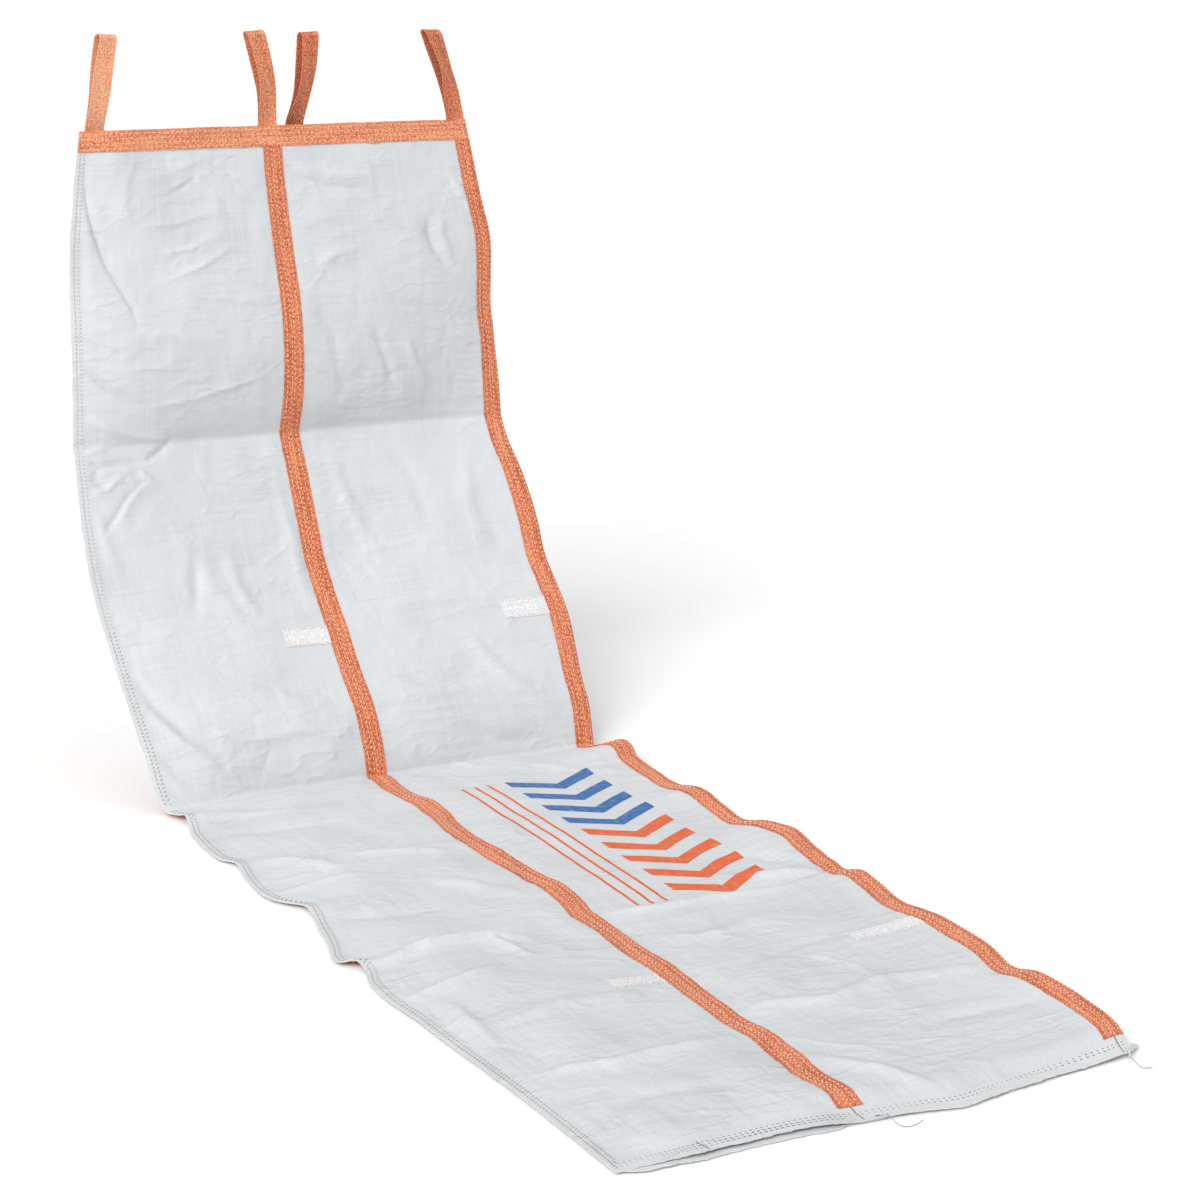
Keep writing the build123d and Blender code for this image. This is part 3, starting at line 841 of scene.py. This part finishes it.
def straps():
    left_strap_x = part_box("middle_left_strap")[0].x
    for span in SPANS:
        strap(1, FRONT_SEAM - STRAP_WIDTH / 2, span, "front_strap")
        strap(1, RIGHT - STRAP_WIDTH, span, "right_strap")
        strap(-1, BACK_SEAM - STRAP_WIDTH / 2, span, "back_strap")
        strap(-1, left_strap_x, span, "left_strap")


# ---------------------------------------------------------------- side seams
def fin_surface(x, s, side):
    """The sewn fin at the left edge, flat and level with the middle of the tube."""
    inner = cloth_surface(side, np.full(np.shape(s), FIN_INNER), s)
    edge = cloth_surface(side, np.full(np.shape(s), LEFT), s)
    t = ((x - LEFT) / (FIN_INNER - LEFT))[..., None]
    place = edge * (1 - t) + inner * t + forward_at(s) * (side * FIN_HALF * (1 - t**3))
    place[..., 2] = np.maximum(place[..., 2], FLOOR + FLOOR_GAP)
    return place


def left_seam(span):
    """The fin with two rows of stitching, and its allowance turned onto the panels, with one row more."""
    s_low, s_high = SPANS[span][0], min(SPANS[span][1], HEM - 2 * MM)
    ss = steps(s_low, s_high, 7 * MM)
    x, s = lattice(steps(LEFT, FIN_INNER, 2.6 * MM), ss)
    fray = (0.7 * waver(s, 0.006, 51) + 0.9 * waver(s, 0.03, 52)) * MM
    x = x + fray * np.clip((FIN_INNER - x) / (FIN_INNER - LEFT), 0, 1) ** 2
    build = Build()
    build.shell(fin_surface(x, s, 1), fin_surface(x, s, -1), np.stack([x, s], -1))
    allowance = LEFT + 21 * MM
    ax, turned = lattice(steps(FIN_INNER - 2 * MM, allowance, 3 * MM), ss[ss < HEM_START - 2 * MM])
    ax = ax + 0.8 * MM * waver(turned, 0.04, 53) * (ax > allowance - 1 * MM)
    for side in (1, -1):
        patch(build, side, ax, turned, -0.2 * MM, 0.55 * MM)
    for k, row in enumerate((0.55, 1.0)):
        middle = np.arange(s_low + (4 + 2 * k) * MM, s_high - 4 * MM, 8 * MM)
        line = np.full(middle.shape, LEFT + row * (FIN_INNER - LEFT))
        for side in (1, -1):
            at, up = fin_surface(line, middle, side), side * forward_at(middle)
            build.stitches(at + up * 0.3 * MM, unit(np.gradient(at, axis=0)), up, FIN_STITCH)
    middle = np.arange(s_low + 5 * MM, min(s_high, HEM_START - 4 * MM) - 4 * MM, 8 * MM)
    line = np.full(middle.shape, allowance - 3 * MM)
    for side in (1, -1):
        stitch_line(build, side, line, middle, 0.6 * MM, ALLOWANCE_STITCH)
    piece = build.object(f"left_seam_{span}", [SEAM_MAT, PALE_THREAD if span == "upper" else GREY_THREAD])
    declare(piece, span, "left_seam")


def right_seam(span):
    """The seam allowance at the right edge, sewn down on the back."""
    s_low, s_high = max(SPANS[span][0], STRAP_WIDTH), min(SPANS[span][1], STRAP_END)
    x, s = lattice(steps(RIGHT - 24 * MM, RIGHT - 0.3 * MM, 3 * MM), steps(s_low, s_high, 8 * MM))
    build = Build()
    patch(build, -1, x, s, 0.15 * MM, 0.9 * MM)
    for row in (7, 17):
        middle = np.arange(s_low + 4 * MM, s_high - 4 * MM, 9 * MM)
        line = np.full(middle.shape, RIGHT - row * MM)
        stitch_line(build, -1, line, middle, 0.9 * MM, BACK_STITCH)
    piece = build.object(f"right_seam_{span}", [SEAM_MAT, GREY_THREAD])
    declare(piece, span, "right_seam")


# ---------------------------------------------------------------- band round the mouth
def pinch(side, x, s):
    """How far the pinched fold right of the front loop stands up, in millimetres."""
    return 2.6 * np.exp(-(((x - 0.2 - 0.6 * s) / 0.012) ** 2)) * (side > 0)


def band(side, name):
    """The band round the mouth, stitched in four rows."""
    ends = (LEFT + 1 * MM, RIGHT - 0.3 * MM)
    x, s = lattice(steps(*ends, 6 * MM), steps(-1.5 * MM, STRAP_WIDTH, 4 * MM))
    wobble = 1.0 * waver(x, 0.07, 61 if side > 0 else 62) + 0.4 * waver(x, 0.02, 63)
    fold = pinch(side, x, s)
    s = s + (wobble + fold * 0.6) * MM
    base, normal = on_cloth(side, x, s)
    outer = base + normal * (LIFT_OFF + WEBBING + fold * MM)[..., None]
    build = Build()
    build.shell(*facing(side, outer, base + normal * (LIFT_OFF / 2), np.stack([s, x], -1)))
    for k, row in enumerate((0.14, 0.38, 0.62, 0.86)):
        middle = np.arange(ends[0] + (5 + 2.7 * k) * MM, ends[1] - 5 * MM, 11 * MM)
        down = row * STRAP_WIDTH + 0.7 * MM * waver(middle, 0.06, 65 + k)
        stand = LIFT_OFF + WEBBING + pinch(side, middle, down) * MM
        stitch_line(build, side, middle, down, stand, STRAP_STITCH)
    piece = build.object(name, [MID_ORANGE, PEACH_THREAD])
    whole(piece, "top_section", "orange_webbing", name)


# ---------------------------------------------------------------- loops
LOOPS = {
    # from foot to crown: the middle's way sideways in millimetres and its turn in degrees; tip; webbing, a
    # paler or darker copy of the orange chosen for how lit each loop is: painted light and shade
    "loop_left": (
        [(0, -2), (0.3, 1), (0.65, 0), (1, 1)], [(0, 4), (0.5, 2), (1, 14)], -5, LIT_LOOP_ORANGE),
    "loop_front": (
        [(0, -8), (0.35, 1), (0.7, -1), (1, -6)], [(0, 2), (0.35, 15), (0.7, 12), (1, 2)], 4, MID_ORANGE),
    "loop_back": (
        [(0, 8), (0.3, 12), (0.65, 8), (1, -2)], [(0, 6), (0.35, 24), (0.7, 16), (1, 6)], 2, ORANGE),
    "loop_right": (
        [(0, 6), (0.3, 9), (0.6, 6), (1, 2)], [(0, 4), (0.3, 12), (0.5, 28), (1, 8)], -2, ORANGE),
}


def hanging_loop(name):
    """A strap folded over at its crown, both legs sewn in at the band."""
    pivot = Vector(joints[f"{name}_swing"]["pos_m"])
    low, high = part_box(name)
    lean_x = (low.x + high.x) / 2 - pivot.x
    # look is a paler or darker copy of the webbing, chosen for how lit this loop is: painted light and shade.
    bow, turn, tip, look = LOOPS[name]
    height = high.z - pivot.z - 1.5 * MM
    crown, foot = 10.5 * MM, -9 * MM
    legs = steps(foot, height - crown, 6 * MM)
    arc = np.linspace(0.15, math.pi - 0.15, 11)
    h = np.concatenate([legs, height - crown + crown * np.sin(arc), legs[::-1]])
    which = np.concatenate([-np.ones(len(legs)), -np.cos(arc), np.ones(len(legs))])
    up = np.clip(h / height, 0, 1)
    gap = np.where(h > height - crown, 10.2, 2.0 + 8.2 * ease(up / 0.7)) * MM * which
    sideways_by = 2 * lean_x * up + through(bow, up) * MM
    turned = np.radians(through(turn, up))
    centre = np.stack([pivot.x + sideways_by, np.full(h.shape, pivot.y), pivot.z + h], -1)
    width_way = unit(np.stack([np.cos(turned), np.sin(turned), math.radians(tip) * up], -1))
    gap_way = np.stack([-np.sin(turned), np.cos(turned), np.zeros(h.shape)], -1)
    line = centre + gap_way * gap[:, None]
    out = unit(np.cross(unit(np.gradient(line, axis=0)), width_way))
    across = np.linspace(-0.5, 0.5, 11) * (STRAP_WIDTH - 1 * MM)
    cup = 0.9 * MM * (1 - (across / (STRAP_WIDTH / 2)) ** 2)
    middle = line[:, None] + width_way[:, None] * across[:, None] + out[:, None] * cup[:, None]
    half = out[:, None] * WEBBING / 2
    length = np.concatenate([[0], np.cumsum(np.linalg.norm(np.diff(line, axis=0), axis=1))])
    uv = np.stack(np.broadcast_arrays(across[None, :] + STRAP_WIDTH / 2, length[:, None]), -1)
    build = Build()
    build.shell(middle - half, middle + half, uv)
    piece = build.object(f"{name}_webbing", [look])
    # Which way the faces look depends on the route, so it is settled here.
    mesh = piece.data
    if mesh.polygons[len(across) * 3 + 2].normal.dot(Vector(out[3])) > 0:
        mesh.flip_normals()
    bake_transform(piece)
    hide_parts(name)


# ---------------------------------------------------------------- tabs, hem, print, thread
TAB_SLANT = 0.03


def tabs():
    """White webbing tabs, each sewn down along its top and bottom edge."""
    for section in ("middle", "outlet"):
        for node, side in (("front_tab", 1), ("right_tab", 1), ("back_tab", -1), ("left_tab", -1)):
            low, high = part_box(f"{section}_{node}")
            centre = (low + high) / 2
            if section == "middle":
                share = (CORNERS[1][1] - centre.z) / (CORNERS[1][1] - CORNERS[2][1])
                s_mid = TOP_CREASE + share * LENGTHS[1] - 7 * MM
            else:
                s_mid = OUTLET_CREASE + (CORNERS[3][0] - centre.y)
            hung_from = high.x if side > 0 else low.x
            x, s = lattice(steps(low.x, high.x, 6 * MM), steps(s_mid - 20 * MM, s_mid + 20 * MM, 4 * MM))
            s = s - TAB_SLANT * np.abs(hung_from - x) + 0.6 * MM * mottle(x, s, 0.03, 0.5, 71)
            build = Build()
            patch(build, side, x, s, 0.25 * MM, 1.5 * MM, np.stack([s, x], -1))
            middle = np.arange(low.x + 5 * MM, high.x - 4 * MM, 7.2 * MM)
            for row in (s_mid - 17.5 * MM, s_mid + 17.5 * MM):
                down = row - TAB_SLANT * np.abs(hung_from - middle)
                stitch_line(build, side, middle, down, 1.5 * MM, TAB_STITCH)
            piece = build.object(f"{section}_{node}_webbing", [WHITE_WEBBING, TAN_THREAD])
            whole(piece, f"{section}_section", "white_webbing", f"{section}_{node}")


TAIL_EXIT_Z = floor_crease[1] - 4 * MM
TAIL_EXITS = [(FRONT_SEAM + 22 * MM, hem_edge.y, TAIL_EXIT_Z), (RIGHT - 6 * MM, hem_edge.y, TAIL_EXIT_Z)]


def seam_end(build, exit_point):
    """A frayed seam end that reaches from the hem to where a thread tail leaves it."""
    t = np.linspace(0, 1, 7)[:, None]
    root = cloth_surface(1, exit_point[0], HEM - 9 * MM) + np.array([0, 0, 0.8 * MM])
    line = root * (1 - t) + np.array(exit_point) * t
    line[:, 2] += 1.5 * MM * np.sin(np.pi * t[:, 0])
    half = (5.5 - 4.6 * t[:, 0] ** 0.7) * MM
    across = np.linspace(-1, 1, 4)
    grid = np.repeat(line[:, None, :], 4, axis=1)
    grid[..., 0] += half[:, None] * across
    thick = np.array([0, 0, 0.5 * MM])
    build.shell(grid + thick, grid - thick, grid[..., :2])


def corner_scrap(build):
    """A scrap of the seam allowance that stands out past the right corner of the hem."""
    corner = cloth_surface(1, RIGHT - 3 * MM, HEM - np.array([27, 20, 13, 6]) * MM)
    out_by = np.linspace(0, 26 * MM, 7)
    narrow = 1 - 0.55 * (out_by / out_by[-1]) ** 2
    middle = corner.mean(axis=0)
    scrap = middle + (corner[:, None, :] - middle) * narrow[None, :, None]
    scrap[..., 0] += out_by
    scrap[..., 1] += 0.25 * out_by
    scrap[..., 2] = FLOOR + 5 * MM + 3 * MM * np.sin(out_by / (9 * MM))
    thick = np.array([0, 0, 0.8 * MM])
    uv = np.stack(np.meshgrid(out_by, np.linspace(0, 0.02, 4)), -1)
    build.shell(scrap + thick, scrap - thick, uv)


def hem(side, name):
    """The doubled hem: three rows of stitching and a frayed edge. The back one looks out at the left."""
    x, s = lattice(steps(LEFT, RIGHT - 0.2 * MM, 4 * MM), steps(HEM_START, HEM, 4 * MM))
    t = np.clip((s - HEM_START) / (HEM - HEM_START), 0, 1)
    seed = 81 if side > 0 else 82
    fray = (1.6 * waver(x, 0.007, seed) + 2.8 * waver(x, 0.05, seed + 2)) * MM
    out_at_left = 14 * MM * ease((-0.03 - x) / 0.05) * ease((x - LEFT) / 0.05) - 4 * MM
    s = s + (fray + (1.5 * MM if side > 0 else out_at_left)) * t
    sag = 2.0 * waver(x, 0.08, seed + 4) * MM * t * (side > 0)
    base, normal = on_cloth(side, x, s)
    base = base + normal * (0.2 * MM + sag)[..., None]
    outer, inner = base + normal * 0.9 * MM, base - normal * 0.9 * MM
    for layer in (outer, inner):
        layer[..., 2] = np.maximum(layer[..., 2], FLOOR + 0.3 * MM)
    build = Build()
    build.shell(*facing(side, outer, inner, np.stack([x, s], -1)))
    for row, x_end in ((3, RIGHT), (10, RIGHT), (17, -0.04)):
        middle = np.arange(LEFT + 6 * MM, x_end - 6 * MM, 9.6 * MM)
        down = HEM_START + row * MM + 0.5 * MM * waver(middle, 0.05, 88 + row)
        stitch_line(build, side, middle, down, 1.1 * MM, HEM_STITCH)
    if side > 0:
        for exit_point in TAIL_EXITS:
            seam_end(build, exit_point)
        corner_scrap(build)
    piece = build.object(f"{name}_cloth", [SEAM_MAT, GREY_THREAD])
    whole(piece, "outlet_section", "seam_cloth", name)


def seam_lines():
    """Thin dark seams from each front strap's end to the hem's edge, and one across the left panel."""
    build = Build()
    lines = [
        (FRONT_SEAM, STRAP_END, 0),
        (RIGHT - STRAP_WIDTH / 2, STRAP_END, 0),
        (-0.30, HEM_START - 2 * MM, 0.3),
    ]
    for x0, s0, slant in lines:
        across, s = lattice((-0.8 * MM, 0.8 * MM), steps(s0, HEM - 1 * MM, 4 * MM))
        patch(build, 1, x0 + (s - s0) * slant + across, s, 1.15 * MM, 1.6 * MM)
    piece = build.object("outlet_seam_lines", [GREY_THREAD])
    whole(piece, "outlet_section", "sewing_thread")


def print_shape(build, corners, across_count, along_count, slot):
    """A printed four-sided patch, its corners (x, s) going round."""
    a, b, c, d = (np.array(p, float) for p in corners)
    u, v = np.meshgrid(np.linspace(0, 1, across_count), np.linspace(0, 1, along_count))
    u, v = u[..., None], v[..., None]
    spot = (a * (1 - u) + b * u) * (1 - v) + (d * (1 - u) + c * u) * v
    patch(build, 1, spot[..., 0], spot[..., 1], 0.15 * MM, 0.55 * MM, slot=slot)


def printed_marks():
    """A plain drawing of flow: nine chevrons towards the outlet, with three rules beside them."""
    build = Build()
    first, pitch, rule, rule_length = FLOOR_CREASE + 0.15, 0.077, 0.0055, 0.69
    x0, x1, tip, bar = 0.185, 0.362, 0.055, 0.034
    middle = (x0 + x1) / 2
    for k in range(9):
        s, slot = first + k * pitch, 0 if k < 4 else 1
        point, foot = (middle, s + tip), (middle, s + tip + bar)
        print_shape(build, [(x0, s), point, foot, (x0, s + bar)], 16, 7, slot)
        print_shape(build, [point, (x1, s), (x1, s + bar), foot], 16, 7, slot)
    last = first + rule_length
    for x in (0.09, 0.118, 0.146):
        print_shape(build, [(x, first), (x + rule, first), (x + rule, last), (x, last)], 3, 110, 1)
    piece = build.object("printed_flow_marks", [BLUE_INK, ORANGE_INK])
    across_crease(piece)


def thread_tails():
    """Cut ends of sewing thread at the hem, which lie on the floor."""
    low_z = FLOOR + 0.6 * MM
    # x, length, then its points in millimetres: across, out, and up off the floor (None: level with the exit)
    tails = {
        "centre_thread_tail": (FRONT_SEAM, 0.0791, [
            (22, 0, None), (22, -9, None), (28, -18, 6), (41, -24, 0), (62, -24, 0), (80, -14, 0)]),
        "corner_thread_tail": (RIGHT, 0.0497, [
            (-6, 0, None), (-6, -9, None), (-1, -17, 6), (12, -19, 0), (26, -17, 0)]),
    }
    for name, (x, length, route) in tails.items():
        data = bpy.data.curves.new(f"{name}_line", "CURVE")
        data.dimensions = "3D"
        spline = data.splines.new("NURBS")
        points = [
            (x + dx * MM, hem_edge.y + dy * MM, TAIL_EXIT_Z if dz is None else low_z + dz * MM)
            for dx, dy, dz in route
        ]
        spline.points.add(len(points) - 1)
        for point, place in zip(spline.points, points):
            point.co = (*place, 1)
        spline.order_u = 3
        spline.use_endpoint_u = True
        data.bevel_depth = 0.5 * MM
        data.bevel_resolution = 3
        data.materials.append(GREY_THREAD)
        tail = placed(f"{name}_thread", data)
        whole(tail, "outlet_section", "sewing_thread", name)


# ---------------------------------------------------------------- studio
def camera():
    """The camera of the picture: low, from the left of the outlet, looking down the chute's length."""
    pitch, yaw, roll = math.radians(15.277), math.radians(29.857), math.radians(-1.548)
    forward = Vector((math.cos(pitch) * math.sin(yaw), math.cos(pitch) * math.cos(yaw), -math.sin(pitch)))
    right = Vector((math.cos(yaw), -math.sin(yaw), 0))
    down = forward.cross(right)
    turned_right = math.cos(roll) * right + math.sin(roll) * down
    turned_down = -math.sin(roll) * right + math.cos(roll) * down
    data = bpy.data.cameras.new("camera")
    data.lens, data.sensor_width = 88.1, 36
    data.clip_start, data.clip_end = 0.05, 200
    made = placed("camera", data)
    axes = Matrix((turned_right, -turned_down, -forward)).transposed()
    made.matrix_world = Matrix.Translation((-2.384, -5.521, 0.464)) @ axes.to_4x4()
    bpy.context.scene.camera = made


def studio():
    """A plain pale floor and soft light from the upper left."""
    mesh = bpy.data.meshes.new("stage_floor")
    far = 60
    corners = [(x * far, y * far, FLOOR) for x, y in ((-1, -1), (1, -1), (1, 1), (-1, 1))]
    mesh.from_pydata(corners, [], [(0, 1, 2, 3)])
    material = bpy.data.materials.new("stage_floor")
    material.use_nodes = True
    shader = material.node_tree.nodes["Principled BSDF"]
    shader.inputs["Base Color"].default_value = (0.97, 0.97, 0.97, 1)
    shader.inputs["Roughness"].default_value = 0.9
    mesh.materials.append(material)
    floor = placed("stage_floor", mesh)

    world = bpy.data.worlds.new("studio")
    bpy.context.scene.world = world
    world.use_nodes = True
    tree = world.node_tree
    background = tree.nodes["Background"]
    background.inputs["Color"].default_value = (1, 1, 1, 1)
    seen = tree.nodes.new("ShaderNodeLightPath")
    strength = tree.nodes.new("ShaderNodeMapRange")
    strength.inputs["To Min"].default_value = 0.42
    strength.inputs["To Max"].default_value = 1.0
    tree.links.new(seen.outputs["Is Camera Ray"], strength.inputs["Value"])
    tree.links.new(strength.outputs["Result"], background.inputs["Strength"])

    lamps = (
        ("key", (-0.62, -0.44, 0.62), 2.3, 38),
        ("overhead", (0.05, 0.1, 1.0), 0.6, 60),
        ("fill", (0.75, -0.5, 0.5), 0.2, 60),
    )
    for name, way, power, size in lamps:
        data = bpy.data.lights.new(name, "SUN")
        data.energy = power
        data.angle = math.radians(size)
        lamp = placed(name, data)
        lamp.rotation_mode = "QUATERNION"
        lamp.rotation_quaternion = Vector(way).to_track_quat("Z", "Y")
    bpy.context.scene.view_settings.view_transform = "Standard"


camera()
studio()
thread_tails()
panels()
straps()
for span_name in SPANS:
    left_seam(span_name)
    right_seam(span_name)
band(1, "front_band")
band(-1, "back_band")
for loop_name in LOOPS:
    hanging_loop(loop_name)
tabs()
hem(1, "front_hem")
hem(-1, "back_hem")
seam_lines()
printed_marks()
